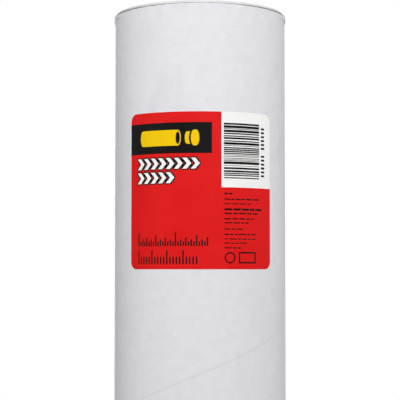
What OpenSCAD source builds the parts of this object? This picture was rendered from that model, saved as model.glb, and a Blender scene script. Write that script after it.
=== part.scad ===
// Mailing tube: a spiral-wound paperboard tube that stands on end, with a push-in plug at each
// end and a paper label wrapped round its front. Millimetres, +Z up along the tube, the front
// facing -Y, and the origin at the middle of the lower plug's resting face.

/* [Tube] */
// Inside diameter of the tube, its nominal size
tube_id = 101.6; // [70:0.1:160]
// Thickness of the wound paperboard wall
tube_wall = 2.4; // [2:0.1:5]
// Length of the tube between its two cut ends
tube_length = 1219.2; // [300:0.1:1500]
// Height of the burred lip that the cut leaves at each end
lip_height = 3.8; // [2.2:0.1:6]
// How far that lip stands proud of the wall
lip_proud = 0.65; // [0.3:0.05:0.75]
// Rounding of the lip's upper and lower edges
lip_round = 0.85; // [0.8:0.05:1]

/* [End plugs] */
// Thickness of the flange that sits on the cut end
flange_thick = 1.6; // [1.2:0.1:3]
// How far the flange reaches over the cut end
flange_reach = 1.45; // [0.8:0.05:1.7]
// Rounding of the flange's outer edge
flange_round = 0.6; // [0.2:0.05:1]
// Depth of the plug below the flange
plug_depth = 19; // [16:0.5:40]
// Thickness of the plug's wall and floor
plug_wall = 1.5; // [1:0.1:2.5]
// Slope of the plug's wall in degrees, which frees it from its mould
plug_draft = 1.2; // [0.5:0.1:2]
// Gap between the plug's wall and the bore, just below the flange
plug_gap = 0.4; // [0.3:0.05:0.6]
// Height of the lead-in at the plug's inner end
lead_in_height = 2.4; // [1:0.1:4]
// How far the lead-in narrows the plug
lead_in_inset = 1.2; // [0.4:0.1:1.4]
// Rounding inside the cup, where its wall meets its floor
floor_fillet = 3; // [1:0.1:5]
// Rounding of the cup's mouth, where it meets the flange
mouth_round = 1; // [0.4:0.1:1.2]

/* [Sealing rings] */
// Number of sealing rings round each plug
ring_count = 3; // [1:1:4]
// Distance from the flange to the middle of the first ring
ring_first = 3.4; // [2:0.1:5]
// Distance from one ring to the next
ring_pitch = 4.2; // [2.5:0.1:5]
// Radius of a ring's rounded edge
ring_edge = 0.7; // [0.6:0.05:1.2]
// Clearance between the rings and the bore
ring_clearance = 0.05; // [0.02:0.01:0.1]

/* [Moulding gate] */
// Radius of the shallow well round the moulding gate, in the floor of the cup
gate_radius = 5; // [3:0.1:12]
// Depth of that well
gate_depth = 0.5; // [0.2:0.05:0.8]

/* [Label] */
// Width of the label, measured round the tube
label_width = 95.8; // [40:0.1:150]
// Height of the label
label_height = 93.1; // [40:0.1:180]
// Distance from the tube's upper end to the label's upper edge
label_drop = 64.9; // [10:0.1:180]
// How far the label's middle is turned from the front, in degrees
label_turn = 0.65; // [-30:0.05:30]
// Radius of the label's corners
label_corner = 4.8; // [1:0.1:15]
// Thickness of the label paper
label_paper = 0.12; // [0.08:0.01:0.3]
// Thickness of the glue under it
label_glue = 0.03; // [0.02:0.01:0.1]

/* [Hidden] */
$fn = 128;
// Overrun of a cut past the face that it starts from
cut_over = 1;
// How far the arc of a label corner reaches past the edges, so that it meets them at a clear angle
arc_over = 0.05;

bore_r = tube_id / 2;
tube_r = bore_r + tube_wall;
tube_low = flange_thick;
tube_high = tube_low + tube_length;

// Distance from the axis to the centre of the lip's rounded edges
lip_centre_r = tube_r + lip_proud - lip_round;

flange_r = bore_r + flange_reach;
plug_r = bore_r - plug_gap;
// Radius of the plug's outer wall where the lead-in starts and where it ends
plug_low_r = plug_r - (plug_depth - lead_in_height) * tan(plug_draft);
plug_end_r = plug_low_r - lead_in_inset;
cup_r = plug_r - plug_wall;
cup_floor_z = plug_wall - plug_depth;
// Height at which the fillet ends and the cup's wall starts to slope outwards
cup_slope_z = cup_floor_z + floor_fillet;
cup_floor_r = cup_r + cup_slope_z * tan(plug_draft);
ring_centre_r = bore_r - ring_clearance - ring_edge;

label_back_r = tube_r + label_glue;
label_face_r = label_back_r + label_paper;
label_span = label_width / label_face_r * 180 / PI;
// Distance from the label's edges to the centre of a corner's arc
corner_inset = label_corner - arc_over;
corner_span = asin(corner_inset / label_face_r);
label_high = tube_high - label_drop;
label_low = label_high - label_height;

// Section of the tube's wall on one side of its axis: a straight wall with a lip at each end, which
// has an upright face between two rounded edges
module wall_section() {
    translate([bore_r, tube_low])
        square([lip_centre_r - bore_r, tube_length]);
    translate([bore_r, tube_low + lip_round])
        square([tube_wall, tube_length - 2 * lip_round]);
    for (lip_z = [tube_low, tube_high - lip_height]) {
        translate([bore_r, lip_z + lip_round])
            square([tube_wall + lip_proud, lip_height - 2 * lip_round]);
        for (edge_z = [lip_z + lip_round, lip_z + lip_height - lip_round])
            translate([lip_centre_r, edge_z])
                circle(r = lip_round);
    }
}

// What rounding takes off a square corner: the corner is at the origin, and the arc's centre at
// (radius, radius)
module round_off(radius) {
    difference() {
        square(radius);
        translate([radius, radius])
            circle(r = radius);
    }
}

// Outer form of a plug in section: flange, sloping wall, lead-in and sealing rings
module plug_outside() {
    polygon([
        [0, -plug_depth],
        [plug_end_r, -plug_depth],
        [plug_low_r, lead_in_height - plug_depth],
        [plug_r, 0],
        [flange_r, 0],
        [flange_r, flange_thick],
        [0, flange_thick]
    ]);
    for (ring = [0 : ring_count - 1])
        translate([ring_centre_r, -ring_first - ring * ring_pitch])
            circle(r = ring_edge);
}

// Hollow of the cup in section: a filleted floor with the gate's well in its middle, a sloping
// wall, and a mouth that runs out past the flange
module cup_hollow() {
    difference() {
        polygon([
            [0, cup_floor_z],
            [cup_floor_r, cup_floor_z],
            [cup_floor_r, cup_slope_z],
            [cup_r, 0],
            [cup_r, flange_thick + cut_over],
            [0, flange_thick + cut_over]
        ]);
        translate([cup_floor_r, cup_floor_z])
            mirror([1, 0])
                round_off(floor_fillet);
    }
    translate([0, cup_floor_z - gate_depth])
        square([gate_radius, gate_depth + cut_over]);
}

// Section of one plug as it sits in the upper end, with the tube's cut end at z = 0
module plug_section() {
    difference() {
        plug_outside();
        cup_hollow();
        translate([flange_r, flange_thick])
            rotate(180)
                round_off(flange_round);
        translate([cup_r, flange_thick])
            mirror([0, 1])
                round_off(mouth_round);
    }
}

// One moulded plug, turned from its section
module plug() {
    rotate_extrude()
        plug_section();
}

// What rounding takes off one corner of the label, cut through it towards the tube's axis. The
// signs say which corner: side is +1 towards +X, and rise is +1 towards +Z.
module label_round_off(side, rise) {
    corner_z = rise > 0 ? label_high : label_low;
    wide = label_corner + cut_over;
    rotate([0, 0, label_turn + side * (label_span / 2 - corner_span)])
        translate([0, 0, corner_z - rise * corner_inset])
            rotate([90, 0, 0])
                linear_extrude(label_face_r + cut_over)
                    difference() {
                        translate([side > 0 ? 0 : -wide, rise > 0 ? 0 : -wide])
                            square(wide);
                        circle(r = label_corner);
                    }
}

// Wound paperboard tube, white outside
module tube() {
    color("whitesmoke")
        rotate_extrude()
            wall_section();
}

// Plug in the upper end
module top_cap() {
    color("white")
        translate([0, 0, tube_high])
            plug();
}

// Plug in the lower end, the other way up
module bottom_cap() {
    color("white")
        translate([0, 0, tube_low])
            mirror([0, 0, 1])
                plug();
}

// Paper label round the front of the tube
module label() {
    color("crimson")
        difference() {
            rotate([0, 0, label_turn - 90 - label_span / 2])
                rotate_extrude(angle = label_span)
                    translate([label_back_r, label_low])
                        square([label_paper, label_height]);
            for (side = [-1, 1], rise = [-1, 1])
                label_round_off(side, rise);
        }
}

tube();
top_cap();
bottom_cap();
label();
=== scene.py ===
"""Looks of a mailing tube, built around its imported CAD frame.

A spiral-wound paperboard tube stands on end, with a moulded plug in each end and a paper label
wrapped round its front. The frame is in metres, +Z up along the tube and the front facing -Y. The
classes give their sizes in millimetres, as a drawing does, and MM turns them into metres. An angle
round the tube starts at the front and grows towards +X.
"""

import logging
import math
from abc import ABC, abstractmethod
from collections.abc import Callable
from dataclasses import dataclass
from enum import Enum, IntEnum
from functools import partial

import bpy
import numpy as np
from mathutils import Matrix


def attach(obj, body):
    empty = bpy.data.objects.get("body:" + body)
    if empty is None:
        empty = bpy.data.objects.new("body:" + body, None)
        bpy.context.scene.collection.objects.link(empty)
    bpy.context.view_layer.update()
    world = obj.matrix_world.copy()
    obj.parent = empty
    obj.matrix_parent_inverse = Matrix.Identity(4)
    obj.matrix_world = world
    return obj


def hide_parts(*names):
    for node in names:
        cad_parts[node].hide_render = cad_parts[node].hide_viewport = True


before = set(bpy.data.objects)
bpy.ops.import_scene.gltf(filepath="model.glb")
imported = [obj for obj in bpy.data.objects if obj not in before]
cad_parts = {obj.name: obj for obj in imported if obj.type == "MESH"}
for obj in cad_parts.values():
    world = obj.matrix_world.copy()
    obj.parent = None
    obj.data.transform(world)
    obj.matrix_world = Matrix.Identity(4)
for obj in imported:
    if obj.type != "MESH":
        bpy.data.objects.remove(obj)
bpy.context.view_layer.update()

MM = 0.001
WELD_STEPS_PER_METRE = 1.0e6
FULL_TURN = 2.0 * math.pi
INCH = 25.4
OVAL_ROWS = 12
WHITE = (1.0, 1.0, 1.0, 1.0)

logger = logging.getLogger("mailing_tube")

Node = bpy.types.Node
Socket = bpy.types.NodeSocket
Tree = bpy.types.NodeTree
Piece = bpy.types.Object
NodeFeed = float | tuple | Socket | Node
AddNode = Callable[..., Node]


def linear(code: str) -> tuple[float, float, float, float]:
    """Turn an sRGB hex colour into linear light.

    Args:
        code: the colour as "#rrggbb".

    Returns:
        Linear red, green and blue, and an alpha of one.
    """
    parts = np.array([int(code[i:i + 2], 16) for i in (1, 3, 5)]) / 255.0
    light = np.where(parts <= 0.04045, parts / 12.92, ((parts + 0.055) / 1.055) ** 2.4)
    return (float(light[0]), float(light[1]), float(light[2]), 1.0)


def add_node(tree: Tree, kind: str, inputs: dict[str | int, NodeFeed], **settings: object) -> Node:
    """Add one node, set it up and feed its inputs.

    Args:
        tree: the node tree that takes the node.
        kind: Blender's name for the kind of node, less the ShaderNode that all start with.
        inputs: for each input socket, by name or number, a constant, the socket that feeds it, or a
            node whose first output feeds it.
        settings: values for the node's own settings.

    Returns:
        The new node.
    """
    node = tree.nodes.new("ShaderNode" + kind)
    for name, value in settings.items():
        setattr(node, name, value)
    for name, feed in inputs.items():
        source = feed.outputs[0] if isinstance(feed, Node) else feed
        if isinstance(source, Socket):
            tree.links.new(source, node.inputs[name])
        else:
            node.inputs[name].default_value = source
    return node


def smooth_step(value: np.ndarray) -> np.ndarray:
    """Ease from 0 to 1: three times the square less twice the cube of the clipped value."""
    clipped = np.clip(value, 0.0, 1.0)
    return clipped * clipped * (3.0 - 2.0 * clipped)


def wave_sum(angle: np.ndarray, waves: tuple[tuple[int, float, float], ...]) -> np.ndarray:
    """Add sines round the tube.

    Each wave is its size times the sine of its count times the angle plus its phase, and the sum is
    divided by the sum of the sizes.

    Args:
        angle: angles round the tube, in radians.
        waves: count, size and phase of each wave.

    Returns:
        The sum at each angle, between minus one and one.
    """
    total = sum(size * np.sin(count * angle + phase) for count, size, phase in waves)
    return total / sum(size for _, size, _ in waves)


def arc(centre: tuple[float, float], radius: float, start: float, end: float, steps: int) -> np.ndarray:
    """Points of a circular arc in a section.

    The centre plus the radius times the cosine and the sine of evenly spaced angles.

    Args:
        centre: distance from the axis and height of the arc's centre, in millimetres.
        radius: radius of the arc, in millimetres.
        start: first angle in degrees, from the outward direction towards up.
        end: last angle in degrees.
        steps: number of points.

    Returns:
        An array of distances from the axis and heights, one row per point.
    """
    angle = np.radians(np.linspace(start, end, steps))
    return np.column_stack((centre[0] + radius * np.cos(angle), centre[1] + radius * np.sin(angle)))


def on_tube(radius: np.ndarray | float, angle: np.ndarray, height: np.ndarray | float) -> np.ndarray:
    """Place points round the tube's axis.

    x is the radius times the angle's sine, y is minus the radius times its cosine, z is the height.

    Args:
        radius: distances from the axis, in millimetres.
        angle: angles from the front towards +X, in radians.
        height: heights above the floor, in millimetres.

    Returns:
        Points in metres, in the shape of the grid that the three make together.
    """
    radius, angle, height = np.broadcast_arrays(radius, angle, height)
    return np.stack((radius * np.sin(angle), -radius * np.cos(angle), height), axis=-1) * MM


@dataclass
class Patch:
    """Part of a surface: points, quads that may share corners, and each quad's finish number."""

    points: np.ndarray
    quads: np.ndarray
    finish: np.ndarray

    @classmethod
    def from_grid(cls, points: np.ndarray, closed: bool, finish: int | np.ndarray) -> "Patch":
        """Join the points of a grid into quads.

        Each quad joins a point to the next in its row and to the two above them in the next row.

        Args:
            points: the grid's points, as rows of columns.
            closed: whether the last column joins the first.
            finish: finish number of all quads, or of each.

        Returns:
            The patch.
        """
        rows, columns = points.shape[:2]
        row = np.arange(rows - 1)[:, None]
        column = np.arange(columns if closed else columns - 1)[None, :]
        after = (column + 1) % columns
        corners = (row * columns + column, row * columns + after,
                   (row + 1) * columns + after, (row + 1) * columns + column)
        quads = np.stack(np.broadcast_arrays(*corners), axis=-1).reshape(-1, 4)
        return cls(points.reshape(-1, 3), quads, np.broadcast_to(finish, len(quads)))


def make_piece(
    name: str,
    patches: list[Patch],
    finishes: list[bpy.types.Material],
    sharp_degrees: float,
) -> Piece:
    """Weld patches into one mesh and make it a piece at the origin.

    Points that round to the same micrometre become one. Each quad becomes two triangles, and a
    triangle with a repeated corner is dropped, which closes poles and trimmed edges.

    Args:
        name: name of the piece.
        patches: the patches, which meet at shared points.
        finishes: materials in the order of the finish numbers.
        sharp_degrees: angle between faces above which an edge is shaded sharp.

    Returns:
        The new object.
    """
    starts = np.cumsum([0] + [len(patch.points) for patch in patches])
    points = np.concatenate([patch.points for patch in patches])
    quads = np.concatenate([patch.quads + start for patch, start in zip(patches, starts)])
    finish = np.concatenate([patch.finish for patch in patches])
    keys = np.round(points * WELD_STEPS_PER_METRE).astype(np.int64)
    _, first, place = np.unique(keys, axis=0, return_index=True, return_inverse=True)
    quads = place.reshape(-1)[quads]
    triangles = np.concatenate((quads[:, [0, 1, 2]], quads[:, [0, 2, 3]]))
    finish = np.concatenate((finish, finish))
    whole = (triangles != np.roll(triangles, 1, axis=1)).all(axis=1)
    triangles = triangles[whole]
    finish = finish[whole]
    mesh = bpy.data.meshes.new(name)
    mesh.vertices.add(len(first))
    mesh.vertices.foreach_set("co", points[first].astype(np.float32).ravel())
    mesh.loops.add(triangles.size)
    mesh.loops.foreach_set("vertex_index", triangles.astype(np.int32).ravel())
    mesh.polygons.add(len(triangles))
    mesh.polygons.foreach_set("loop_start", np.arange(0, triangles.size, 3, dtype=np.int32))
    for material in finishes:
        mesh.materials.append(material)
    mesh.polygons.foreach_set("material_index", finish.astype(np.int32))
    mesh.polygons.foreach_set("use_smooth", np.ones(len(triangles), dtype=bool))
    mesh.update(calc_edges=True)
    mesh.validate()
    mesh.set_sharp_from_angle(angle=math.radians(sharp_degrees))
    piece = bpy.data.objects.new(name, mesh)
    bpy.context.scene.collection.objects.link(piece)
    return piece


class Finish(ABC):
    """What a surface is made of, named for the real material."""

    name: str

    @abstractmethod
    def surface(self, add: AddNode, place: Socket) -> Node:
        """Add the finish's nodes.

        Args:
            add: adds a node to the material.
            place: the Object coordinates.

        Returns:
            The shader node.
        """

    def material(self) -> bpy.types.Material:
        """Build the material, from Object coordinates through the finish's nodes to the output.

        Returns:
            The material.
        """
        material = bpy.data.materials.new(self.name)
        material.use_nodes = True
        tree = material.node_tree
        tree.nodes.clear()
        add = partial(add_node, tree)
        place = add("TexCoord", {}).outputs["Object"]
        add("OutputMaterial", {0: self.surface(add, place)})
        return material


@dataclass(frozen=True)
class Seam:
    """Line where the edges of a wound strip meet, in millimetres.

    It climbs by the pitch in each turn, and crosses the front at the start. Its line fades out
    between two distances from the seam, from a share of the seam's colour down to none.
    """

    pitch: float
    start: float
    fades_from: float
    fades_at: float
    strength: float

    def line(self, add: AddNode, place: Socket) -> Node:
        """Add the nodes that draw the line.

        The height above the start in pitches, less the share of a turn round the tube, is a whole
        number on the seam. A triangle wave of it is the distance from the seam, and the line's
        strength falls with a smooth step of that distance.

        Args:
            add: adds a node to the material.
            place: the Object coordinates.

        Returns:
            The node that gives the share of the seam's colour.
        """
        axes = add("SeparateXYZ", {0: place}).outputs
        front = add("Math", {0: axes[1], 1: -1.0}, operation="MULTIPLY")
        angle = add("Math", {0: axes[0], 1: front}, operation="ARCTAN2")
        climb = add("Math", {
            0: angle, 1: -self.pitch * MM / FULL_TURN, 2: axes[2]}, operation="MULTIPLY_ADD")
        turns = add("Math", {
            0: climb, 1: 1.0 / (self.pitch * MM), 2: -self.start / self.pitch}, operation="MULTIPLY_ADD")
        wave = add("Math", {0: turns, 1: 0.5}, operation="PINGPONG")
        return add("MapRange", {
            "Value": wave, "From Min": self.fades_from / self.pitch, "From Max": self.fades_at / self.pitch,
            "To Min": self.strength, "To Max": 0.0}, interpolation_type="SMOOTHSTEP")


WRAP_SEAM = Seam(136.8, 1001.5, 0.12, 1.3, 0.15)
LINER_SEAM = Seam(128.0, 64.0, 0.2, 0.9, 0.8)


@dataclass(frozen=True)
class CoatedWrap(Finish):
    """Clay-coated kraft paper, wound as the tube's outer ply.

    The clay coat gives a cool white with a dull, even sheen. Under it the sheet's formation shows
    as a cloudy mottle, fibres run along the strip, handling leaves faint grey smudges, and the
    strip's two edges meet in a fine grey line, which is partly the grey of the butt gap and partly
    painted shade for the groove along the seam.
    """

    name: str = "clay_coated_kraft_wrap"
    light: str = "#e8e7eb"
    cloud: str = "#e0dfe4"
    smudge: str = "#cac9d0"
    # seam: partly the butt gap's grey, partly painted shade for the seam's groove
    seam: str = "#bfbec3"
    smoothest: float = 0.52
    roughest: float = 0.64
    cloud_width: float = 5.0
    fibre_length: float = 9.0
    fibre_width: float = 0.9
    fibre_share: float = 0.45
    fibre_relief: float = 1.4
    smudge_width: float = 30.0
    smudge_share: float = 0.22
    tooth_width: float = 0.5
    tooth_depth: float = 0.02

    def surface(self, add: AddNode, place: Socket) -> Node:
        """Mix clouds and fibres into a mottle, and lay the smudges and the seam over it.

        Args:
            add: adds a node to the material.
            place: the Object coordinates.

        Returns:
            The shader node.
        """
        cloud = add("TexNoise", {
            "Vector": place, "Scale": 1.0 / (self.cloud_width * MM), "Detail": 3.0, "Roughness": 0.6})
        strip = add("Attribute", {}, attribute_name="strip").outputs["Vector"]
        along = add("Mapping", {
            "Vector": strip, "Scale": (1.0 / (self.fibre_length * MM), 1.0 / (self.fibre_width * MM), 1.0)})
        fibre = add("TexNoise", {"Vector": along, "Scale": 1.0, "Detail": 4.0, "Roughness": 0.65})
        mottle = add("Mix", {0: self.fibre_share, 2: cloud, 3: fibre}, data_type="FLOAT")
        spread = add("MapRange", {"Value": mottle, "From Min": 0.32, "From Max": 0.68})
        sheet = add("Mix", {0: spread, 6: linear(self.cloud), 7: linear(self.light)}, data_type="RGBA")
        touch = add("TexNoise", {
            "Vector": place, "Scale": 1.0 / (self.smudge_width * MM), "Detail": 5.0, "Roughness": 0.55,
            "Distortion": 0.6})
        mark = add("MapRange", {
            "Value": touch, "From Min": 0.56, "From Max": 0.74, "To Max": self.smudge_share},
            interpolation_type="SMOOTHSTEP")
        handled = add("Mix", {0: mark, 6: sheet.outputs[2], 7: linear(self.smudge)}, data_type="RGBA")
        # painted shade in part: the seam's grey line also stands in for the shade in the groove along the
        # seam
        colour = add("Mix", {
            0: WRAP_SEAM.line(add, place), 6: handled.outputs[2], 7: linear(self.seam)}, data_type="RGBA")
        sheen = add("MapRange", {
            "Value": cloud, "From Min": 0.3, "From Max": 0.7, "To Min": self.smoothest,
            "To Max": self.roughest})
        tooth = add("TexNoise", {
            "Vector": place, "Scale": 1.0 / (self.tooth_width * MM), "Detail": 3.0, "Roughness": 0.6})
        height = add("Math", {0: fibre, 1: self.fibre_relief, 2: tooth}, operation="MULTIPLY_ADD")
        bump = add("Bump", {"Height": height, "Strength": 0.5, "Distance": self.tooth_depth * MM})
        return add("BsdfPrincipled", {
            "Base Color": colour.outputs[2], "Roughness": sheen, "IOR": 1.5, "Specular IOR Level": 0.05,
            "Normal": bump})


@dataclass(frozen=True)
class CutBoardWithRimShade(Finish):
    """Grey chipboard where the saw has cut the wound tube.

    Recycled fibre gives a warm grey. Its greys are painted darker than the same board in the bore,
    as painted shade for the dark line in the groove at the rim. The plies show as fine rings round the
    axis, the saw leaves a fuzzy, matt surface, and loose specks of darker fibre lie in it.
    """

    name: str = "saw_cut_chipboard_with_painted_rim_shade"
    # painted shade: light and dark are darker than the board's own greys, for the shade in the rim's groove
    light: str = "#91887f"
    dark: str = "#6a6159"
    speck: str = "#494038"
    ply_thickness: float = 0.4
    ply_sway: float = 0.25
    fuzz_width: float = 0.7
    fuzz_share: float = 0.5
    fuzz_depth: float = 0.08
    speck_share: float = 0.6

    def surface(self, add: AddNode, place: Socket) -> Node:
        """Draw rings by a sine of the distance from the tube's axis, mixed with fuzz, with specks.

        Args:
            add: adds a node to the material.
            place: the Object coordinates.

        Returns:
            The shader node.
        """
        flat = add("VectorMath", {0: place, 1: (1.0, 1.0, 0.0)}, operation="MULTIPLY")
        radius = add("VectorMath", {0: flat}, operation="LENGTH").outputs["Value"]
        fuzz = add("TexNoise", {
            "Vector": place, "Scale": 1.0 / (self.fuzz_width * MM), "Detail": 5.0, "Roughness": 0.7})
        swayed = add("Math", {0: fuzz, 1: self.ply_sway * MM, 2: radius}, operation="MULTIPLY_ADD")
        phase = add("Math", {0: swayed, 1: FULL_TURN / (self.ply_thickness * MM)}, operation="MULTIPLY")
        rings = add("Math", {0: phase}, operation="SINE")
        share = add("MapRange", {
            "Value": rings, "From Min": -1.0, "From Max": 1.0, "To Min": 0.15, "To Max": 0.85})
        mixed = add("Mix", {0: self.fuzz_share, 2: share, 3: fuzz}, data_type="FLOAT")
        board = add("Mix", {0: mixed, 6: linear(self.dark), 7: linear(self.light)}, data_type="RGBA")
        loose = add("MapRange", {
            "Value": fuzz, "From Min": 0.62, "From Max": 0.7, "To Max": self.speck_share},
            interpolation_type="SMOOTHSTEP")
        colour = add("Mix", {0: loose, 6: board.outputs[2], 7: linear(self.speck)}, data_type="RGBA")
        bump = add("Bump", {"Height": mixed, "Strength": 0.7, "Distance": self.fuzz_depth * MM})
        return add("BsdfPrincipled", {
            "Base Color": colour.outputs[2], "Roughness": 0.9, "IOR": 1.5, "Specular IOR Level": 0.15,
            "Normal": bump})


@dataclass(frozen=True)
class BoardLiner(Finish):
    """Uncoated chipboard, wound as the tube's inmost ply.

    A dull warm grey with flecks of recycled fibre, and the dark butt line of the strip's edges,
    which winds up the bore.
    """

    name: str = "uncoated_chipboard_liner"
    light: str = "#bdb3a4"
    dark: str = "#a09586"
    seam: str = "#6d645a"
    fleck_width: float = 2.2
    fleck_depth: float = 0.05

    def surface(self, add: AddNode, place: Socket) -> Node:
        """Mix two greys by the flecks, and lay the seam over them.

        Args:
            add: adds a node to the material.
            place: the Object coordinates.

        Returns:
            The shader node.
        """
        fleck = add("TexNoise", {
            "Vector": place, "Scale": 1.0 / (self.fleck_width * MM), "Detail": 6.0, "Roughness": 0.7})
        spread = add("MapRange", {"Value": fleck, "From Min": 0.3, "From Max": 0.7})
        board = add("Mix", {0: spread, 6: linear(self.dark), 7: linear(self.light)}, data_type="RGBA")
        colour = add("Mix", {
            0: LINER_SEAM.line(add, place), 6: board.outputs[2], 7: linear(self.seam)}, data_type="RGBA")
        bump = add("Bump", {"Height": fleck, "Strength": 0.5, "Distance": self.fleck_depth * MM})
        return add("BsdfPrincipled", {
            "Base Color": colour.outputs[2], "Roughness": 0.85, "IOR": 1.5, "Specular IOR Level": 0.2,
            "Normal": bump})


@dataclass(frozen=True)
class MouldedPolyethylene(Finish):
    """White low-density polyethylene, injection moulded.

    The soft plastic is waxy and lets a little light in. The mould's spark finish leaves a fine
    grain, the melt's flow leaves faint rays from the gate, and the colour is a shade uneven.
    """

    name: str = "moulded_low_density_polyethylene"
    light: str = "#e3e4e6"
    shade: str = "#d8dadd"
    smoothest: float = 0.43
    roughest: float = 0.53
    grain_width: float = 0.6
    grain_depth: float = 0.03
    cloud_width: float = 14.0
    ray_count: float = 40.0
    ray_share: float = 0.4
    light_depth: float = 1.2

    def surface(self, add: AddNode, place: Socket) -> Node:
        """Mix two whites by clouds and rays, which are noise of the angle round the tube's axis.

        Args:
            add: adds a node to the material.
            place: the Object coordinates.

        Returns:
            The shader node.
        """
        flat = add("VectorMath", {0: place, 1: (1.0, 1.0, 0.0)}, operation="MULTIPLY")
        around = add("VectorMath", {0: flat}, operation="NORMALIZE")
        rays = add("TexNoise", {"Vector": around, "Scale": self.ray_count / FULL_TURN, "Detail": 3.0})
        cloud = add("TexNoise", {"Vector": place, "Scale": 1.0 / (self.cloud_width * MM), "Detail": 2.0})
        uneven = add("Mix", {0: self.ray_share, 2: cloud, 3: rays}, data_type="FLOAT")
        spread = add("MapRange", {"Value": uneven, "From Min": 0.35, "From Max": 0.65})
        colour = add("Mix", {0: spread, 6: linear(self.shade), 7: linear(self.light)}, data_type="RGBA")
        waxy = add("MapRange", {
            "Value": spread, "To Min": self.smoothest, "To Max": self.roughest})
        grain = add("TexNoise", {"Vector": place, "Scale": 1.0 / (self.grain_width * MM), "Detail": 2.0})
        bump = add("Bump", {"Height": grain, "Strength": 0.35, "Distance": self.grain_depth * MM})
        return add("BsdfPrincipled", {
            "Base Color": colour.outputs[2], "Roughness": waxy, "IOR": 1.51, "Specular IOR Level": 0.3,
            "Subsurface Weight": 0.12, "Subsurface Radius": (1.0, 1.0, 1.0),
            "Subsurface Scale": self.light_depth * MM, "Normal": bump})


@dataclass(frozen=True)
class LabelInk(Finish):
    """One colour printed on coated label stock, or the bare stock.

    The coat is satin. Offset print lies a little unevenly on it: a soft cloud a few centimetres
    wide, and the fine speckle of the screen, drawn several times too coarse so that it shows.
    """

    name: str
    colour: str
    uneven: str
    smoothest: float = 0.44
    roughest: float = 0.52
    cloud_width: float = 16.0
    speckle_width: float = 0.7
    speckle_share: float = 0.55
    speckle_depth: float = 0.012

    def surface(self, add: AddNode, place: Socket) -> Node:
        """Mix two near colours by cloud and speckle.

        Args:
            add: adds a node to the material.
            place: the Object coordinates.

        Returns:
            The shader node.
        """
        cloud = add("TexNoise", {"Vector": place, "Scale": 1.0 / (self.cloud_width * MM), "Detail": 2.0})
        speckle = add("TexNoise", {
            "Vector": place, "Scale": 1.0 / (self.speckle_width * MM), "Detail": 3.0})
        both = add("Mix", {0: self.speckle_share, 2: cloud, 3: speckle}, data_type="FLOAT")
        spread = add("MapRange", {"Value": both, "From Min": 0.35, "From Max": 0.65})
        colour = add("Mix", {
            0: spread, 6: linear(self.uneven), 7: linear(self.colour)}, data_type="RGBA")
        satin = add("MapRange", {
            "Value": spread, "To Min": self.smoothest, "To Max": self.roughest})
        bump = add("Bump", {"Height": speckle, "Strength": 0.3, "Distance": self.speckle_depth * MM})
        return add("BsdfPrincipled", {
            "Base Color": colour.outputs[2], "Roughness": satin, "IOR": 1.48, "Specular IOR Level": 0.06,
            "Normal": bump})


class TubeFinish(IntEnum):
    """Finish numbers on the tube."""

    WRAP = 0
    CUT = 1
    LINER = 2


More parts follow.
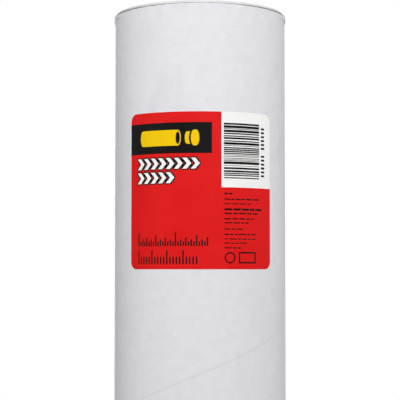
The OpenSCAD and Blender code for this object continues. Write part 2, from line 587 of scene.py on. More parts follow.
@dataclass
class WoundTube:
    """Spiral-wound paperboard tube with a burred lip at each cut end, in millimetres.

    The two places where the lip fades and where it is full are sines of the angle from the front.
    Where the wrap ends on the lip's arc is in degrees, the seam's slack is a part of a turn, and waves
    have a count, a size and a phase.
    """

    bore_radius: float = 50.8
    radius: float = 53.2
    low: float = 1.6
    high: float = 1220.8
    lip_height: float = 3.8
    lip_proud: float = 0.65
    lip_foot: float = 0.8
    lip_edge: float = 0.85
    lip_flat: float = 0.6
    lip_fades_at: float = 0.89
    lip_full_at: float = 0.985
    lip_sway: float = 0.09
    lip_waves: tuple[tuple[int, float, float], ...] = ((3, 1.0, 0.4), (7, 0.7, 1.9), (13, 0.5, 4.1))
    # painted shade: the wrap ends low on the lip, and lower towards the sides by the sway and ripple,
    # baring more darkened board as the rim's dark line
    wrap_ends_at: float = 22.0
    side_shade_sway: float = 20.0
    side_shade_ripple: float = 8.0
    wrap_fray: float = 6.0
    fray_waves: tuple[tuple[int, float, float], ...] = ((17, 1.0, 0.7), (29, 1.0, 2.1), (47, 1.0, 0.0))
    border: float = 5.0
    columns: int = 192
    seam_rows: tuple[float, ...] = (0.12, 0.3, 0.6, 1.2, 2.4, 4.5)
    wide_from: float = 14.0
    wide_rows: int = 11
    lap_rise: float = 0.06
    lap_fade: float = 2.5
    gap_depth: float = 0.04
    gap_width: float = 0.55
    seam_slack: float = 1.0e-5
    foot_rows: int = 9
    edge_rows: int = 16
    cut_rows: int = 5
    bore_rows: int = 60
    sharp_degrees: float = 40.0

    def strip_rows(self) -> np.ndarray:
        """Rows of one turn of the strip, close together beside the seam.

        Returns:
            Distances above the seam, in millimetres.
        """
        near = np.array(self.seam_rows)
        wide = np.linspace(self.wide_from, WRAP_SEAM.pitch - self.wide_from, self.wide_rows)
        return np.concatenate(([0.0], near, wide, WRAP_SEAM.pitch - near[::-1]))

    def relief(self, above: np.ndarray) -> np.ndarray:
        """Rise of the wrap near its seam.

        The upper edge of the strip laps up and fades away exponentially above the seam, and a
        groove with the form of a bell curve runs along the seam itself.

        Args:
            above: distances above the seam, from zero to the pitch, in millimetres.

        Returns:
            The rise in millimetres.
        """
        signed = np.where(above < WRAP_SEAM.pitch / 2, above, above - WRAP_SEAM.pitch)
        lap = np.where(signed >= 0, self.lap_rise * np.exp(-np.abs(signed) / self.lap_fade), 0.0)
        return lap - self.gap_depth * np.exp(-(signed / self.gap_width) ** 2)

    def wrap(self) -> Patch:
        """Outer wall as one strip wound up the tube.

        A row's height is the seam's height, plus the pitch times the turns so far, plus the row's
        own distance above the seam. The last column joins the first of the next turn. Heights are
        clipped to the border rings, where the lips start, so spare turns past them shrink to nothing.

        Returns:
            The patch.
        """
        above = self.strip_rows()
        floor = self.low + self.border
        ceiling = self.high - self.border
        first = math.floor((floor - WRAP_SEAM.start) / WRAP_SEAM.pitch) - 2
        last = math.ceil((ceiling - WRAP_SEAM.start) / WRAP_SEAM.pitch) + 1
        turn = np.arange(first, last + 1)
        share = np.arange(self.columns) / self.columns
        rows = len(turn) * len(above)
        winding = np.repeat(turn, len(above))[:, None] + share
        across = np.tile(above, len(turn))[:, None]
        height = WRAP_SEAM.start + WRAP_SEAM.pitch * winding + across
        near_end = np.minimum(height - floor, ceiling - height) / self.border
        rise = self.relief(across) * smooth_step(near_end)
        points = on_tube(self.radius + rise, FULL_TURN * share[None, :], np.clip(height, floor, ceiling))
        patch = Patch.from_grid(points, False, TubeFinish.WRAP)
        row = np.arange(rows - 1 - len(above))
        edge = row * self.columns + self.columns - 1
        start = (row + len(above)) * self.columns
        seam = np.column_stack((edge, start, start + self.columns, edge + self.columns))
        patch.quads = np.concatenate((patch.quads, seam))
        patch.finish = np.full(len(patch.quads), TubeFinish.WRAP)
        return patch

    def end_section(self) -> np.ndarray:
        """Section of the upper lip and cut end, from the border ring to the bore.

        An eased foot, which is the proud height times the smooth step of the share of the foot, then
        an upright face, an arc, and the level cut.

        Returns:
            Distances from the axis and heights.
        """
        share = np.linspace(0.0, 1.0, self.foot_rows)
        foot_z = self.high - self.lip_height + self.lip_foot * share
        foot = np.column_stack((self.radius + self.lip_proud * smooth_step(share), foot_z))
        face_r = self.radius + self.lip_proud
        centre = face_r - self.lip_edge
        edge = arc((centre, self.high - self.lip_edge), self.lip_edge, 0.0, 90.0, self.edge_rows)
        cut_r = np.linspace(centre, self.bore_radius, self.cut_rows + 1)[1:]
        cut = np.column_stack((cut_r, np.full(self.cut_rows, self.high)))
        return np.concatenate(([[self.radius, self.high - self.border]], foot,
                               [[face_r, self.high - 0.5 * self.lip_height]], edge, cut))

    def end_finish(self, angle: np.ndarray) -> np.ndarray:
        """Finish of the upper lip and cut end.

        The wrap ends part of the way up the lip's arc, at a mean bend plus two slow waves and a
        fray of fast ones. The mean bend is low and the slow waves bring the end lower towards the sides,
        so that more of the darkened board shows there: painted shade for the rim's dark line. The fray is
        the cut's own unevenness. Past it the cut board shows.

        Args:
            angle: angles of the columns.

        Returns:
            A finish number for each band of the section and each column.
        """
        # painted shade: the slow waves lower the wrap's end towards the sides, baring more darkened board
        # there
        side_shade_waves = self.side_shade_sway * np.cos(2 * angle) + self.side_shade_ripple * np.cos(4 * angle)
        limit = self.wrap_ends_at + side_shade_waves + self.wrap_fray * wave_sum(angle, self.fray_waves)
        bend = np.linspace(0.0, 90.0, self.edge_rows)[1:, None]
        before = np.full((self.foot_rows + 2, len(angle)), TubeFinish.WRAP)
        edge = np.where(bend > limit, TubeFinish.CUT, TubeFinish.WRAP)
        cut = np.full((self.cut_rows, len(angle)), TubeFinish.CUT)
        return np.concatenate((before, edge, cut))

    def ends(self) -> Patch:
        """Lips, cut ends and bore, as one section carried round the axis.

        The section climbs the upper lip, crosses the cut end, goes down the bore, and comes out over
        the lower end. The lips stand out in full at the sides, where the angle's sine is near one,
        and are flattened at the front and back, with a smooth step between, and a sum of sines makes
        them sway a little.

        Returns:
            The patch.
        """
        upper = self.end_section()
        bore_z = np.linspace(self.high, self.low, self.bore_rows)[1:-1]
        bore = np.column_stack((np.full(len(bore_z), self.bore_radius), bore_z))
        lower = upper[::-1] * (1.0, -1.0) + (0.0, self.high + self.low)
        section = np.concatenate((upper, bore, lower))
        proud = np.clip((section[:, :1] - self.radius) / self.lip_proud, 0.0, 1.0)
        angle = FULL_TURN * np.arange(self.columns) / self.columns
        ease = self.lip_full_at - self.lip_fades_at
        aside = smooth_step((np.abs(np.sin(angle)) - self.lip_fades_at) / ease)
        sway = self.lip_sway * wave_sum(angle, self.lip_waves)
        radius = section[:, :1] + proud * (aside * sway - (1.0 - aside) * self.lip_flat)
        points = on_tube(radius, angle[None, :], section[:, 1:])
        end_kind = self.end_finish(angle)
        bore_kind = np.full((len(bore) + 1, self.columns), TubeFinish.LINER)
        kind = np.concatenate((end_kind, bore_kind, end_kind[::-1]))
        return Patch.from_grid(points, True, kind.reshape(-1))

    def build(self) -> Piece:
        """Make the tube, dress it and ride it on its body.

        Returns:
            The piece.
        """
        finishes = [CoatedWrap().material(), CutBoardWithRimShade().material(), BoardLiner().material()]
        piece = make_piece("wound_tube", [self.wrap(), self.ends()], finishes, self.sharp_degrees)
        self.mark_strip(piece)
        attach(piece, "tube")
        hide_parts("tube")
        return piece

    def mark_strip(self, piece: Piece) -> None:
        """Give each point its place along and across the wound strip, for the fibres.

        The turns so far are the whole part of the height in pitches less the share of a turn, the
        rest is the distance above the seam, and the strip's length is the turns times the girth. A
        slack is added, so that rounding doesn't put the seam's points in the turn below.

        Args:
            piece: the tube.
        """
        points = np.empty(len(piece.data.vertices) * 3, dtype=np.float32)
        piece.data.vertices.foreach_get("co", points)
        x, y, z = points.reshape(-1, 3).T.astype(float) / MM
        share = (np.arctan2(x, -y) / FULL_TURN) % 1.0
        climb = (z - WRAP_SEAM.start) / WRAP_SEAM.pitch - share
        turn = np.floor(climb + self.seam_slack)
        across = (climb - turn) * WRAP_SEAM.pitch
        along = (turn + share) * FULL_TURN * self.radius
        strip = np.column_stack((along, across, np.hypot(x, y))) * MM
        attribute = piece.data.attributes.new("strip", "FLOAT_VECTOR", "POINT")
        attribute.data.foreach_set("vector", strip.astype(np.float32).ravel())


class PlugEnd(Enum):
    """Which end of the tube a plug sits in: its node and which way it faces."""

    TOP = ("top_cap", 1.0)
    BOTTOM = ("bottom_cap", -1.0)


@dataclass
class EndPlug:
    """Push-in plug moulded in one piece, in millimetres, with heights from the tube's cut end.

    The break of the lead-in's tip is how far it goes inwards and upwards, the slope of the gate's
    well is how far it goes outwards and inwards of the well's radius, and the nib's flank is a share
    of its radius.
    """

    end: PlugEnd
    seat: float
    flange_radius: float = 52.25
    flange_thick: float = 1.6
    flange_round: float = 0.45
    mouth_round: float = 1.0
    wall_radius: float = 50.4
    wall_thick: float = 1.5
    draft: float = 1.2
    depth: float = 19.0
    lead_height: float = 2.4
    lead_inset: float = 1.2
    lead_break: tuple[float, float] = (0.3, 0.25)
    floor_fillet: float = 3.0
    ring_places: tuple[float, ...] = (3.4, 7.6, 11.8)
    ring_edge: float = 0.7
    ring_radius: float = 50.75
    gate_radius: float = 5.0
    gate_depth: float = 0.5
    gate_slope: tuple[float, float] = (0.2, 0.05)
    nib_radius: float = 1.3
    nib_height: float = 0.4
    nib_flank: float = 0.4
    pin_count: int = 4
    pin_circle: float = 33.0
    pin_radius: float = 3.2
    pin_depth: float = 0.16
    pin_edge: float = 0.5
    columns: int = 192
    under_rows: int = 14
    ring_rows: int = 9
    edge_rows: int = 8
    mouth_rows: int = 9
    wall_rows: int = 8
    fillet_rows: int = 10
    floor_rows: int = 96
    well_rows: int = 24
    sharp_degrees: float = 38.0

    def outside(self) -> np.ndarray:
        """Section from the middle of the underside, up the outside, to the flange's lower edge.

        The wall leans out by the draft, and each sealing ring is an arc that stands on it.

        Returns:
            Distances from the axis and heights.
        """
        slope = math.tan(math.radians(self.draft))
        lead_top = self.lead_height - self.depth
        low_radius = self.wall_radius + lead_top * slope
        tip_radius = low_radius - self.lead_inset
        break_in, break_up = self.lead_break
        under_r = np.linspace(0.0, tip_radius - break_in, self.under_rows)
        parts = [np.column_stack((under_r, np.full(self.under_rows, -self.depth))),
                 np.array([[tip_radius, break_up - self.depth], [low_radius, lead_top]])]
        for place in reversed(self.ring_places):
            centre = self.ring_radius - self.ring_edge
            lean = math.degrees(math.acos((self.wall_radius - place * slope - centre) / self.ring_edge))
            parts.append(arc((centre, -place), self.ring_edge, -lean, lean, self.ring_rows))
        parts.append(np.array([[self.wall_radius, 0.0], [self.flange_radius, 0.0]]))
        return np.concatenate(parts)

    def inside(self) -> np.ndarray:
        """Section from the flange's outer edge, down into the cup, to the nib in its middle.

        Arcs round the flange's edge, the mouth and the foot of the wall. The gate's well is a step
        in the floor, and the nib is the upper part of a small bell.

        Returns:
            Distances from the axis and heights.
        """
        slope = math.tan(math.radians(self.draft))
        cup_radius = self.wall_radius - self.wall_thick
        floor = self.wall_thick - self.depth
        foot = floor + self.floor_fillet
        flat_radius = cup_radius + foot * slope - self.floor_fillet
        slope_out, slope_in = self.gate_slope
        edge = arc((self.flange_radius - self.flange_round, self.flange_thick - self.flange_round),
                   self.flange_round, 0.0, 90.0, self.edge_rows)
        mouth = arc((cup_radius + self.mouth_round, self.flange_thick - self.mouth_round),
                    self.mouth_round, 90.0, 180.0, self.mouth_rows)
        wall_z = np.linspace(0.0, foot, self.wall_rows)
        wall = np.column_stack((cup_radius + wall_z * slope, wall_z))
        fillet = arc((flat_radius, foot), self.floor_fillet, 0.0, -90.0, self.fillet_rows)[1:]
        floor_r = np.linspace(flat_radius, self.gate_radius + slope_out, self.floor_rows)[1:]
        plain = np.column_stack((floor_r, np.full(len(floor_r), floor)))
        well_r = np.linspace(self.gate_radius - slope_in, 0.0, self.well_rows)
        flank = self.nib_flank * self.nib_radius
        bell = self.nib_height * smooth_step((self.nib_radius - well_r) / flank)
        well = np.column_stack((well_r, floor - self.gate_depth + bell))
        return np.concatenate((edge, mouth, wall, fillet, plain, well))

    def pin_marks(self, radius: np.ndarray, angle: np.ndarray) -> np.ndarray:
        """Depth of the round marks that the ejector pins leave in the cup's floor.

        Each mark is a disc of even depth with an eased edge, and the marks lie evenly on a circle.

        Args:
            radius: distances from the axis of the grid's rows.
            angle: angles of its columns.

        Returns:
            The depth at each point, in millimetres.
        """
        spots = FULL_TURN * (np.arange(self.pin_count) + 0.5)[:, None, None] / self.pin_count
        away = np.hypot(radius * np.sin(angle) - self.pin_circle * np.sin(spots),
                        radius * np.cos(angle) - self.pin_circle * np.cos(spots))
        return self.pin_depth * smooth_step((self.pin_radius - away.min(axis=0)) / self.pin_edge)

    def build(self) -> Piece:
        """Make the plug, dress it and ride it on its body.

        The section is carried round the axis. In the lower end it is turned upside down and its
        order reversed, so that its faces still point outwards.

        Returns:
            The piece.
        """
        node, way = self.end.value
        section = np.concatenate((self.outside(), self.inside()))
        angle = FULL_TURN * np.arange(self.columns)[None, :] / self.columns
        radius = section[:, :1]
        on_floor = np.isclose(section[:, 1:], self.wall_thick - self.depth, rtol=0.0, atol=1.0e-6)
        height = section[:, 1:] - np.where(on_floor, self.pin_marks(radius, angle), 0.0)
        if way < 0:
            radius = radius[::-1]
            height = height[::-1]
        patch = Patch.from_grid(on_tube(radius, angle, self.seat + way * height), True, 0)
        finish = MouldedPolyethylene().material()
        piece = make_piece(f"{node}_moulding", [patch], [finish], self.sharp_degrees)
        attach(piece, node)
        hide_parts(node)
        return piece


class Ink(IntEnum):
    """Finish numbers on the label."""

    RED = 0
    BARE = 1
    BLACK = 2
    YELLOW = 3
    EDGE = 4


INKS = {
    Ink.RED: LabelInk("offset_red_on_label_stock", "#e31f1f", "#dc1a1a"),
    Ink.BARE: LabelInk("bare_coated_label_stock", "#fafaf8", "#f5f5f3"),
    Ink.BLACK: LabelInk("offset_black_on_label_stock", "#0a0909", "#0f0e0e"),
    Ink.YELLOW: LabelInk("offset_yellow_on_label_stock", "#f8cf0c", "#f0c507"),
    Ink.EDGE: LabelInk("cut_edge_of_label_stock", "#ecebe8", "#e0dfdb", 0.66, 0.74),
}


@dataclass(frozen=True)
class Field:
    """Rectangle of one ink: left, top, right and bottom in millimetres from the upper left corner."""

    left: float
    top: float
    right: float
    bottom: float
    ink: Ink


@dataclass(frozen=True)
class Chevrons:
    """Row of outlined arrowheads that point to the right."""

    left: float
    top: float
    count: int
    step: float = 0.3
    steps_deep: int = 9
    steps_thick: int = 9
    steps_pitch: int = 17
    row: float = 0.36
    outline: float = 0.6
    outline_rows: int = 2

    def fields(self) -> list[Field]:
        """Lay the arrowheads out from the left.

        Each is a stack of thin rows. A row's left edge moves right by one step for each row down to
        the middle and back again, its width is the thickness, and the outlines lie under all rows,
        two rows high above and below.

        Returns:
            The fields, in the order in which they are printed.
        """
        row = np.arange(2 * self.steps_deep)
        shift = self.step * np.minimum(row, 2 * self.steps_deep - 1 - row)
        thick = self.step * self.steps_thick
        border = self.outline_rows * self.row
        under = []
        over = []
        for number in range(self.count):
            starts = self.left + number * self.steps_pitch * self.step + shift
            for start, down in zip(starts.tolist(), (self.top + self.row * row).tolist()):
                end = start + thick
                foot = down + self.row
                under.append(Field(start - self.outline, down - border, end + self.outline, foot + border,
                                   Ink.BLACK))
                over.append(Field(start, down, end, foot, Ink.BARE))
        return under + over


@dataclass(frozen=True)
class Scale:
    """Printed measuring scale: ticks that stand on a foot line, taller at the rounder divisions."""

    left: float
    foot: float
    division: float
    count: int
    ranks: tuple[tuple[int, float], ...]
    stroke: float = 0.9

    def fields(self) -> list[Field]:
        """Lay out one field for each tick, as tall as the first rank whose number divides its place.

        Returns:
            The fields.
        """
        places = range(self.count)
        tall = [next(height for every, height in self.ranks if place % every == 0) for place in places]
        return [Field(self.left + place * self.division, self.foot - height,
                      self.left + place * self.division + self.stroke, self.foot, Ink.BLACK)
                for place, height in zip(places, tall)]


def oval(middle: tuple[float, float], half_wide: float, half_tall: float, ink: Ink) -> list[Field]:
    """Ellipse of one ink, as thin rows.

    The rows' edges are the half height times the sine of evenly spaced angles, and a row's half
    width is the ellipse's half width times the cosine of the angle in its middle.

    Args:
        middle: place of the centre, across and down.
        half_wide: half of the width.
        half_tall: half of the height.
        ink: the ink.

    Returns:
        The rows.
    """
    angle = np.radians(np.linspace(-90.0, 90.0, OVAL_ROWS + 1))
    down = middle[1] + half_tall * np.sin(angle)
    reach = half_wide * np.cos((angle[:-1] + angle[1:]) / 2)
    return [Field(middle[0] - float(r), float(a), middle[0] + float(r), float(b), ink)
            for a, b, r in zip(down[:-1], down[1:], reach)]


@dataclass
class PaperLabel:
    """Self-adhesive label with round corners, wrapped round the tube's front, in millimetres.

    Print is placed from the label's upper left corner. A print row has its middle, its length and its
    thickness.
    """

    width: float = 95.8
    height: float = 93.1
    corner: float = 4.8
    corner_steps: int = 10
    top: float = 1155.9
    turn: float = 0.65
    face_radius: float = 53.35
    back_radius: float = 53.23
    column_step: float = 1.5
    row_step: float = 4.0
    grid: float = 0.1
    back_step: float = 2.0
    sharp_degrees: float = 40.0
    margin: float = 6.3
    panel_left: float = 60.1
    panel_bottom: float = 44.8
    band_ends: tuple[float, float] = (6.4, 24.7)
    band_right: float = 54.4
    heading_rows: tuple[tuple[float, int], ...] = ((27.4, 8), (35.8, 5))
    scale_left: float = 6.8
    inch_foot: float = 79.5
    centimetre_foot: float = 90.1
    print_left: float = 61.9
    print_letter: float = 0.7
    print_seed: int = 11
    print_words: int = 12
    print_rows: tuple[tuple[float, float, float], ...] = (
        (48.5, 9.5, 0.9), (51.8, 27.5, 0.7), (54.5, 20.0, 0.7), (57.8, 27.0, 1.3),
        (60.2, 25.5, 0.7), (63.4, 21.0, 0.7), (65.8, 18.5, 0.7), (69.4, 15.5, 0.7),
        (72.6, 25.0, 0.7), (75.3, 22.5, 0.7), (77.7, 17.0, 0.7), (80.6, 14.0, 0.7),
    )
    bar_seed: int = 5
    bar_unit: float = 0.37
    bar_count: int = 36
    bar_choices: tuple[int, ...] = (1, 2, 2, 3, 4)
    gap_choices: tuple[int, ...] = (1, 1, 1, 2)
    bar_sides: tuple[float, float] = (61.5, 86.0)
    bar_ends: tuple[float, float] = (6.6, 40.2)
    mark_sides: tuple[float, float] = (87.5, 90.3)
    mark_starts: tuple[float, float] = (8.6, 25.1)
    mark_pitch: float = 2.35
    mark_count: int = 6
    mark_height: float = 1.2

    def panels(self) -> list[Field]:
        """Fields of colour: the red ground, the bare panel and the black band."""
        return [Field(0.0, 0.0, self.width, self.height, Ink.RED),
                Field(self.panel_left, 0.0, self.width, self.panel_bottom, Ink.BARE),
                Field(0.0, self.band_ends[0], self.band_right, self.band_ends[1], Ink.BLACK)]

    def pictogram(self) -> list[Field]:
        """Draw a plain picture of an open tube with its plug drawn out, in the black band.

        Returns:
            The fields, in the order in which they are printed.
        """
        middle = 15.5
        tall = 4.7
        cup_tall = 3.7
        bulge = 1.9
        cup_bulge = 1.35
        gap_bulge = 2.3
        tube_from, tube_to = 10.5, 34.0
        cup_from, cup_to = 39.6, 43.0
        rim_from, rim_to = 43.8, 45.0
        tube = [Field(tube_from, middle - tall, tube_to, middle + tall, Ink.YELLOW)]
        for end in (tube_from, tube_to):
            tube += oval((end, middle), bulge, tall, Ink.YELLOW)
        mouth = oval((tube_to, middle), cup_bulge, cup_tall, Ink.BLACK)
        cup = [Field(cup_from, middle - cup_tall, cup_to, middle + cup_tall, Ink.YELLOW)]
        cup += oval((cup_from, middle), cup_bulge, cup_tall, Ink.YELLOW)
        gap = oval((cup_to, middle), gap_bulge, tall, Ink.BLACK)
        rim = [Field(rim_from, middle - tall, rim_to, middle + tall, Ink.YELLOW)]
        for end in (rim_from, rim_to):
            rim += oval((end, middle), bulge, tall, Ink.YELLOW)
        return tube + mouth + cup + gap + rim

    def size_picture(self) -> list[Field]:
        """Draw a small plain picture of a tube from its end and from its side, at the lower right.

        Returns:
            The fields, in the order in which they are printed.
        """
        middle = (65.4, 86.3)
        radius = 3.4
        stroke = 0.9
        left, right = 71.0, 83.0
        top, bottom = middle[1] - radius, middle[1] + radius
        ring = oval(middle, radius, radius, Ink.BLACK)
        ring += oval(middle, radius - stroke, radius - stroke, Ink.RED)
        side = Field(left, top, right, bottom, Ink.BLACK)
        inner = Field(left + stroke, top + stroke, right - stroke, bottom - stroke, Ink.RED)
        return ring + [side, inner]

    def heading(self) -> list[Field]:
        """Rows of large arrowheads under the band, each with its upper edge and its count."""
        return [field for top, count in self.heading_rows
                for field in Chevrons(self.margin, top, count).fields()]

    def scales(self) -> list[Field]:
        """Lay out a scale in sixteenths of an inch and one in centimetres, near the lower edge.

        Both are true to size.

        Returns:
            The fields.
        """
        inch_ranks = ((16, 8.1), (8, 6.4), (4, 5.2), (2, 4.0), (1, 2.8))
        inches = Scale(self.scale_left, self.inch_foot, INCH / 16, 29, inch_ranks)
        centimetres = Scale(self.scale_left, self.centimetre_foot, 2.0, 20, ((5, 8.1), (1, 4.4)))
        return inches.fields() + centimetres.fields()

    def small_print(self) -> list[Field]:
        """Lay out a column of fine rows on the right, each a few dummy words, one of them bold.

        A word is three to seven letters long, and the next one follows after one letter's width, as
        long as it ends within the row.

        Returns:
            The fields.
        """
        rng = np.random.default_rng(self.print_seed)
        fields = []
        for middle, length, thick in self.print_rows:
            words = self.print_letter * rng.integers(3, 8, self.print_words)
            ends = np.cumsum(words + self.print_letter)
            starts = self.print_left + ends - words - self.print_letter
            fits = ends <= length + self.print_letter
            fields += [Field(start, middle - thick / 2, start + word, middle + thick / 2, Ink.BLACK)
                       for start, word in zip(starts[fits].tolist(), words[fits].tolist())]
        return fields

    def bars(self) -> list[Field]:
        """Lay out a ladder of bars on the bare panel, and two rows of marks beside it.

        Bars are one to four units wide and gaps one or two, both drawn at random.

        Returns:
            The fields.
        """
        rng = np.random.default_rng(self.bar_seed)
        bar = rng.choice(self.bar_choices, self.bar_count) * self.bar_unit
        gap = rng.choice(self.gap_choices, self.bar_count) * self.bar_unit
        top, bottom = self.bar_ends
        feet = top + np.cumsum(bar + gap) - gap
        left, right = self.bar_sides
        ladder = [Field(left, float(foot - tall), right, float(foot), Ink.BLACK)
                  for foot, tall in zip(feet, bar) if foot < bottom]
        left, right = self.mark_sides
        steps = self.mark_pitch * np.arange(self.mark_count)
        marks = np.add.outer(self.mark_starts, steps).ravel().tolist()
        return ladder + [Field(left, mark, right, mark + self.mark_height, Ink.BLACK) for mark in marks]

    def layout(self) -> list[Field]:
        """All fields, in the order in which they are printed."""
        return (self.panels() + self.pictogram() + self.heading() + self.scales()
                + self.small_print() + self.size_picture() + self.bars())

    def lines(self, edges: list[float], step: float, extent: float) -> np.ndarray:
        """Grid lines in one direction.

        All print edges, the ends of the corner arcs' steps and evenly spaced lines, moved to the
        nearest multiple of the grid and sorted, each once.

        Args:
            edges: places of print edges.
            step: spacing of the even lines.
            extent: length of the label in this direction.

        Returns:
            The sorted places.
        """
        bends = self.corner * (1.0 - np.cos(np.radians(np.linspace(0.0, 90.0, self.corner_steps))))
        even = np.linspace(0.0, extent, math.ceil(extent / step) + 1)
        places = np.concatenate((edges, bends, extent - bends, even))
        return np.unique(np.round(np.clip(places, 0.0, extent) / self.grid) * self.grid)

    def inset(self, down: np.ndarray) -> np.ndarray:
        """How far the round corners draw the side edges in.

        The corner's radius less the leg of a right triangle whose hypotenuse is that radius and
        whose other leg is the distance into the corner.

        Args:
            down: distances from the upper edge.

        Returns:
            The inset at each distance.
        """
        into = np.clip(self.corner - np.minimum(down, self.height - down), 0.0, self.corner)
        return self.corner - np.sqrt(self.corner ** 2 - into ** 2)

    def plain_grid(self, across: np.ndarray, down: np.ndarray, inset: np.ndarray) -> np.ndarray:
        """Grid of the unprinted back, with the outline's points and few others.

        Inside the outline each line moves to the nearest multiple of a wide spacing, so that most
        cells shrink to nothing and are dropped.

        Args:
            across: lines of the printed grid, from the left edge.
            down: lines of the printed grid, from the upper edge.
            inset: how far the corners draw each row in, as a column.

        Returns:
            Distances from the left edge and from the upper edge, as two grids.
        """
        wide = np.tile(across, (len(down), 1))
        tall = np.tile(down[:, None], (1, len(across)))
        wide[1:-1] = np.round(across / self.back_step) * self.back_step
        tall[:, 1:-1] = np.round(down / self.back_step)[:, None] * self.back_step
        wide[:, [0, -1]] = (0.0, self.width)
        tall[[0, -1]] = np.array([[0.0], [self.height]])
        return np.stack((np.clip(wide, inset, self.width - inset), np.clip(tall, 0.0, self.height)))

    def sheet(self, radius: float, across: np.ndarray, down: np.ndarray) -> np.ndarray:
        """Bend the flat grid round the tube.

        The angle is the turn plus the distance from the label's middle divided by the face radius.

        Args:
            radius: distance from the axis.
            across: distances from the left edge.
            down: distances from the upper edge.

        Returns:
            Points in metres.
        """
        angle = math.radians(self.turn) + (across - self.width / 2) / self.face_radius
        return on_tube(radius, angle, self.top - down)

    def build(self) -> Piece:
        """Make the label, dress it and ride it on its body.

        The face is a grid with a line at every print edge, drawn in at the round corners, and each
        cell takes the ink of the last field that covers its middle. The back has the same outline
        nearer the axis, and a strip round the four sides closes the sheet.

        Returns:
            The piece.
        """
        fields = self.layout()
        across = self.lines([x for f in fields for x in (f.left, f.right)], self.column_step, self.width)
        down = self.lines([y for f in fields for y in (f.top, f.bottom)], self.row_step, self.height)
        middle_x = (across[:-1] + across[1:]) / 2
        middle_y = (down[:-1] + down[1:]) / 2
        ink = np.full((len(middle_y), len(middle_x)), Ink.RED)
        for item in fields:
            rows = (middle_y >= item.top) & (middle_y < item.bottom)
            columns = (middle_x >= item.left) & (middle_x < item.right)
            ink[np.ix_(rows, columns)] = item.ink
        inset = self.inset(down)[:, None]
        wide = np.clip(across[None, :], inset, self.width - inset)
        tall = np.broadcast_to(down[:, None], wide.shape)
        face = self.sheet(self.face_radius, wide[::-1], tall[::-1])
        back = self.sheet(self.back_radius, *self.plain_grid(across, down, inset))
        ring = [np.concatenate((grid[0, :], grid[1:, -1], grid[-1, -2::-1], grid[-2:0:-1, 0]))
                for grid in (wide, tall)]
        strip = np.stack([self.sheet(radius, *ring) for radius in (self.face_radius, self.back_radius)])
        patches = [Patch.from_grid(face, False, ink[::-1].reshape(-1)),
                   Patch.from_grid(back, False, Ink.EDGE),
                   Patch.from_grid(strip, True, Ink.EDGE)]
        finishes = [INKS[name].material() for name in Ink]
        piece = make_piece("paper_label", patches, finishes, self.sharp_degrees)
        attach(piece, "tube")
        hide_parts("label")
        return piece


@dataclass(frozen=True)
class MattSweep(Finish):
    """Matt white paper sweep under the tube.

    It takes shadows without a sheen, clears towards its rim, and is clear from below.
    """

    clear_from: float
    clear_at: float
    name: str = "matt_white_sweep"
    colour: str = "#f7f7f7"

    def surface(self, add: AddNode, place: Socket) -> Node:
        """Mix matt white with clear, by the distance from the middle and by the side that is seen.

        Args:
            add: adds a node to the material.
            place: the Object coordinates.

        Returns:
            The shader node.
        """
        away = add("VectorMath", {0: place}, operation="LENGTH").outputs["Value"]
        fade = add("MapRange", {"Value": away, "From Min": self.clear_from, "From Max": self.clear_at},
            interpolation_type="SMOOTHSTEP")
        below = add("NewGeometry", {}).outputs["Backfacing"]
        clear = add("Math", {0: fade, 1: below}, operation="MAXIMUM")
        matt = add("BsdfDiffuse", {0: linear(self.colour)})
        through = add("BsdfTransparent", {})
        return add("MixShader", {0: clear, 1: matt, 2: through})


@dataclass(frozen=True)
class SoftBox:
    """Rectangular lamp.

    Its place, its aim and its size are in metres, its power is in watts, and how widely its light
    fans out is in degrees.
    """

    name: str
    place: tuple[float, float, float]
    aim: tuple[float, float, float]
    size: tuple[float, float]
    power: float
    spread: float = 180.0

    def build(self) -> None:
        """Make the lamp, turned towards its aim.

        The tangent of its tilt is the level distance over the drop.
        """
        lamp = bpy.data.lights.new(self.name, "AREA")
        lamp.shape = "RECTANGLE"
        lamp.size = self.size[0]
        lamp.size_y = self.size[1]
        lamp.energy = self.power
        lamp.spread = math.radians(self.spread)
        box = bpy.data.objects.new(self.name, lamp)
        bpy.context.scene.collection.objects.link(box)
        away = np.array(self.aim) - np.array(self.place)
        level = math.hypot(away[0], away[1])
        box.location = self.place
        box.rotation_euler = (math.atan2(level, -away[2]), 0.0, math.atan2(-away[0], away[1]))


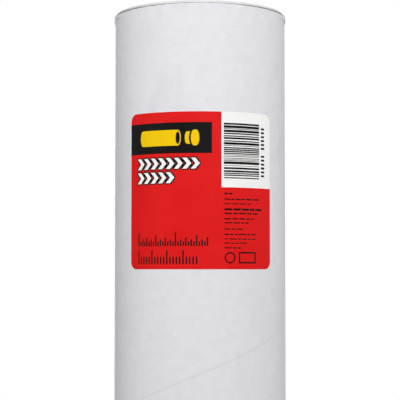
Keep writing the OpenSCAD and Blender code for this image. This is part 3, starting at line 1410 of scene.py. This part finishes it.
@dataclass
class Studio:
    """Pale floor, white surround, soft lamps and the photograph's camera, in metres."""

    eye_distance: float = 0.8521
    eye_height: float = 1.06173
    pitch_degrees: float = 2.99
    lens: float = 122.47
    ambient: float = 0.03
    floor_radius: float = 2.4
    floor_opening: float = 0.0515
    floor_fade: float = 1.3
    floor_rings: int = 9
    floor_columns: int = 96
    boxes: tuple[SoftBox, ...] = (
        SoftBox("front_box", (0.2, -1.35, 1.85), (0.0, 0.0, 1.05), (0.8, 0.8), 17.5),
        SoftBox("left_box", (-1.35, -0.85, 1.85), (0.0, 0.0, 1.05), (0.8, 0.9), 13.2),
        SoftBox("right_box", (1.5, -0.25, 1.85), (0.0, 0.0, 1.05), (0.8, 0.9), 10.9),
        SoftBox("low_box", (0.5, -1.6, 0.2), (0.0, 0.0, 0.15), (0.7, 0.3), 0.4, 40.0),
        SoftBox("back_box", (-0.2, 2.5, 1.4), (0.0, 0.0, 0.8), (1.2, 1.8), 44.0),
        SoftBox("top_box", (0.0, -0.1, 3.2), (0.0, 0.0, 1.2), (1.4, 1.4), 2.0),
        SoftBox("under_box", (0.5, -0.7, -1.5), (0.0, 0.0, 0.0), (0.9, 0.9), 20.0),
    )

    def camera(self) -> None:
        """Make the camera, level with the upper part of the tube and pitched up a little."""
        data = bpy.data.cameras.new("camera")
        data.lens = self.lens
        data.sensor_width = 36.0
        camera = bpy.data.objects.new("camera", data)
        camera.location = (0.0, -self.eye_distance, self.eye_height)
        camera.rotation_euler = (math.radians(90.0 + self.pitch_degrees), 0.0, 0.0)
        bpy.context.scene.collection.objects.link(camera)
        bpy.context.scene.camera = camera

    def surround(self) -> None:
        """Make a world that is white where it is seen or mirrored, and softer where it lights."""
        world = bpy.data.worlds.new("surround")
        world.use_nodes = True
        tree = world.node_tree
        tree.nodes.clear()
        add = partial(add_node, tree)
        path = add("LightPath", {}).outputs
        mirrored = add("Math", {
            0: path["Is Glossy Ray"], 1: path["Is Transmission Ray"]}, operation="MAXIMUM")
        seen = add("Math", {0: path["Is Camera Ray"], 1: mirrored}, operation="MAXIMUM")
        soft = add("Background", {0: WHITE, 1: self.ambient})
        bright = add("Background", {0: WHITE, 1: 1.0})
        mixed = add("MixShader", {0: seen, 1: soft, 2: bright})
        add("OutputWorld", {0: mixed})
        bpy.context.scene.world = world

    def floor(self) -> None:
        """Make the round floor, as rings of points about the origin.

        Its middle is open under the lower plug, which covers it, so that the plug's underside gets
        light from the lamp below.
        """
        radius = np.linspace(self.floor_radius / MM, self.floor_opening / MM, self.floor_rings)[:, None]
        angle = FULL_TURN * np.arange(self.floor_columns)[None, :] / self.floor_columns
        patch = Patch.from_grid(on_tube(radius, angle, 0.0), True, 0)
        finish = MattSweep(self.floor_radius - self.floor_fade, self.floor_radius).material()
        floor = make_piece("floor", [patch], [finish], sharp_degrees=180.0)

    def build(self) -> None:
        """Make the camera, the floor, the surround and the lamps."""
        self.camera()
        self.surround()
        self.floor()
        for box in self.boxes:
            box.build()
        bpy.context.scene.view_settings.view_transform = "Standard"


def report(piece: Piece) -> None:
    """Log a piece's name and its count of faces."""
    logger.info("%s: %d faces", piece.name, len(piece.data.polygons))


def main() -> None:
    """Build the studio and every piece of the mailing tube, and log them."""
    logging.basicConfig(level=logging.INFO, format="%(name)s %(message)s")
    Studio().build()
    tube = WoundTube()
    report(tube.build())
    report(EndPlug(PlugEnd.TOP, tube.high).build())
    report(EndPlug(PlugEnd.BOTTOM, tube.low).build())
    report(PaperLabel().build())


if __name__ == "__main__":
    main()
